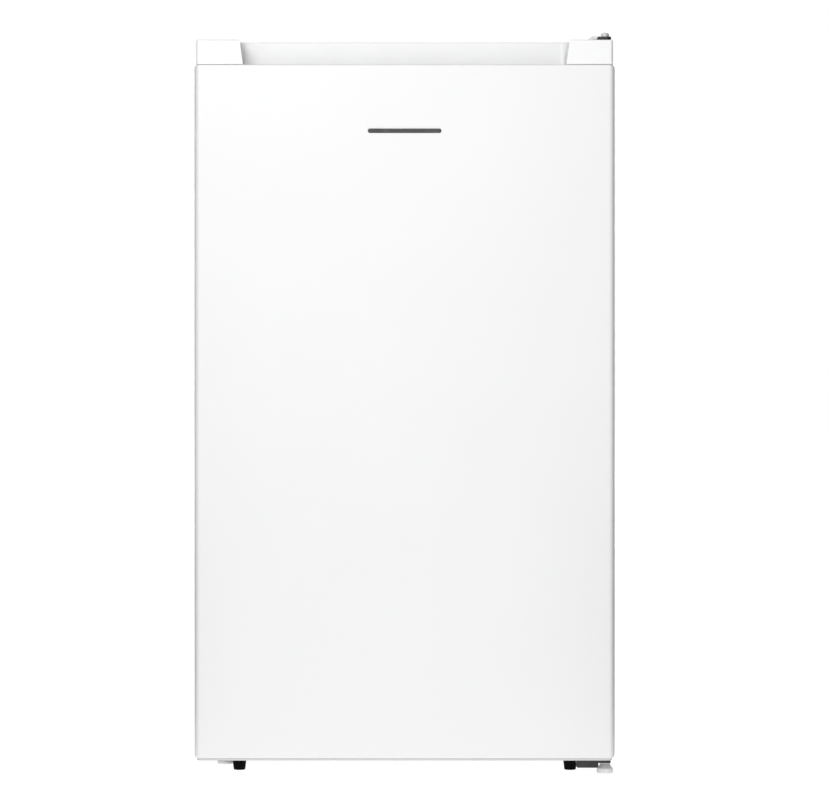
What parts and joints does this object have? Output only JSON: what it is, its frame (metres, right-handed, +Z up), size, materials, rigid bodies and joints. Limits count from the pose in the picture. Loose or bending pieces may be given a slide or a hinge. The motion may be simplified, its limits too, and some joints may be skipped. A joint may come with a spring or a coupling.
{
  "type": "mini fridge",
  "caption": "Under-counter refrigerator with one right-hung insulated door, finger trough along its top, ice box, shelves, crisper and a wire condenser behind.",
  "frame": {"origin": "on the floor, below the centre of the bounding box", "axes": "+Z up, the door faces -Y, +X to the right of someone facing the door"},
  "size_m": [0.48, 0.5, 0.8498],
  "materials": {
    "white_enamel": "orange-peel gloss enamel",
    "galvanised_steel": "galvanised, dull",
    "insulating_foam": "matt",
    "white_liner": "vacuum-formed, semi-gloss",
    "white_moulding": "fine-textured, semi-gloss",
    "black_plastic": "matt",
    "black_steel": "satin black paint",
    "zinc_steel": "zinc-plated",
    "brass_insert": "plain",
    "foot_plastic": "satin",
    "seal_rubber": "soft matt",
    "dark_badge": "gloss",
    "clear_plastic": "clear, satin",
    "shelf_glass": "polished",
    "roll_bond": "satin",
    "lamp_diffuser": "translucent",
    "lamp_glass": "frosted",
    "grey_plastic": "matt",
    "damping_rubber": "matt",
    "copper": "bright copper"
  },
  "bodies": {
    "cabinet": {"cabinet_wrapper": "white_enamel", "back_panel": "galvanised_steel", "bottom_panel": "galvanised_steel", "cabinet_insulation": "insulating_foam", "inner_liner": "white_liner", "worktop": "white_moulding", "base_rail": "galvanised_steel", "front_feet": "black_plastic", "rear_feet": "black_plastic", "top_hinge_base": "white_moulding", "top_hinge_bracket": "black_steel", "top_hinge_pin": "zinc_steel", "top_hinge_cover": "white_moulding", "bottom_hinge_bracket": "black_steel", "bottom_hinge_pin": "zinc_steel", "hinge_screws": "zinc_steel", "ice_box_evaporator": "roll_bond", "ice_box_screws": "zinc_steel", "ice_box_frame": "white_moulding", "thermostat_housing": "white_moulding", "thermostat_control": "grey_plastic", "lamp_cover": "lamp_diffuser", "lamp_bulb": "lamp_glass", "compressor_tray": "galvanised_steel", "compressor": "black_steel", "compressor_mounts": "damping_rubber", "terminal_cover": "black_plastic", "drain_pan": "white_moulding", "condenser_tube": "black_steel", "condenser_wires": "black_steel", "condenser_brackets": "grey_plastic", "refrigerant_pipes": "copper", "filter_drier": "copper"},
    "door": {"door_skin": "white_enamel", "door_insulation": "insulating_foam", "door_liner": "white_liner", "door_gasket": "seal_rubber", "door_top_cap": "white_moulding", "door_bottom_cap": "white_moulding", "door_hinge_bushes": "grey_plastic", "door_badge": "dark_badge"},
    "top_balcony": {"top_balcony": "clear_plastic"},
    "egg_tray": {"egg_tray": "white_moulding"},
    "middle_balcony": {"middle_balcony": "clear_plastic"},
    "bottle_rack": {"bottle_rack": "clear_plastic", "bottle_rail": "zinc_steel"},
    "upper_shelf": {"upper_shelf_glass": "shelf_glass", "upper_shelf_trim": "white_moulding"},
    "lower_shelf": {"lower_shelf_glass": "shelf_glass", "lower_shelf_trim": "white_moulding"},
    "crisper_cover": {"crisper_cover": "shelf_glass"},
    "crisper_drawer": {"crisper_drawer": "clear_plastic"},
    "drip_tray": {"drip_tray": "clear_plastic"},
    "ice_box_flap": {"ice_box_flap": "clear_plastic"},
    "thermostat_knob": {"thermostat_knob": "white_moulding"},
    "lamp_switch": {"lamp_switch": "white_moulding"},
    "hinge_foot_insert": {"hinge_foot_insert": "brass_insert"},
    "hinge_foot_pad": {"hinge_foot_pad": "foot_plastic"},
    "left_foot_stud": {"left_foot_stud": "zinc_steel"},
    "left_foot_pad": {"left_foot_pad": "foot_plastic"}
  },
  "joints": [
    {"name": "door_swing", "type": "hinge", "parent": "cabinet", "child": "door", "pos_m": [0.23, -0.2192, 0.42], "axis": [0, 0, 1], "range_deg": [0, 130]},
    {"name": "top_balcony_lift", "type": "slide", "parent": "door", "child": "top_balcony", "axis": [0, 0, 1], "range_m": [0, 0.025]},
    {"name": "egg_tray_lift", "type": "slide", "parent": "top_balcony", "child": "egg_tray", "axis": [0, 0, 1], "range_m": [0, 0.03]},
    {"name": "middle_balcony_lift", "type": "slide", "parent": "door", "child": "middle_balcony", "axis": [0, 0, 1], "range_m": [0, 0.025]},
    {"name": "bottle_rack_lift", "type": "slide", "parent": "door", "child": "bottle_rack", "axis": [0, 0, 1], "range_m": [0, 0.025]},
    {"name": "upper_shelf_slide", "type": "slide", "parent": "cabinet", "child": "upper_shelf", "axis": [0, -1, 0], "range_m": [0, 0.022]},
    {"name": "lower_shelf_slide", "type": "slide", "parent": "cabinet", "child": "lower_shelf", "axis": [0, -1, 0], "range_m": [0, 0.022]},
    {"name": "crisper_cover_slide", "type": "slide", "parent": "cabinet", "child": "crisper_cover", "axis": [0, -1, 0], "range_m": [0, 0.05]},
    {"name": "crisper_slide", "type": "slide", "parent": "cabinet", "child": "crisper_drawer", "axis": [0, -1, 0], "range_m": [0, 0.035]},
    {"name": "drip_tray_slide", "type": "slide", "parent": "cabinet", "child": "drip_tray", "axis": [0, -1, 0], "range_m": [0, 0.095]},
    {"name": "ice_box_flap_swing", "type": "hinge", "parent": "cabinet", "child": "ice_box_flap", "pos_m": [0, -0.0735, 0.766], "axis": [-1, 0, 0], "range_deg": [0, 90]},
    {"name": "thermostat_turn", "type": "hinge", "parent": "cabinet", "child": "thermostat_knob", "pos_m": [0.17, -0.1042, 0.575], "axis": [1, 0, 0], "range_deg": [0, 300]},
    {"name": "lamp_switch_press", "type": "slide", "parent": "cabinet", "child": "lamp_switch", "axis": [0, 1, 0], "range_m": [0, 0.004], "stiffness_N_per_m": 150},
    {"name": "hinge_foot_travel", "type": "slide", "parent": "cabinet", "child": "hinge_foot_insert", "axis": [0, 0, -1], "range_m": [0, 0.00375]},
    {"name": "hinge_foot_turn", "type": "hinge", "parent": "hinge_foot_insert", "child": "hinge_foot_pad", "pos_m": [0.23, -0.2192, 0.005], "axis": [0, 0, 1], "range_deg": [0, 1080]},
    {"name": "left_foot_travel", "type": "slide", "parent": "cabinet", "child": "left_foot_stud", "axis": [0, 0, -1], "range_m": [0, 0.00375]},
    {"name": "left_foot_turn", "type": "hinge", "parent": "left_foot_stud", "child": "left_foot_pad", "pos_m": [-0.2085, -0.1642, 0.007], "axis": [0, 0, 1], "range_deg": [0, 1080]}
  ],
  "couplings": [
    {"joint": "hinge_foot_turn", "follows": "hinge_foot_travel", "rad_per_m": 5026.5},
    {"joint": "left_foot_turn", "follows": "left_foot_travel", "rad_per_m": 5026.5}
  ]
}
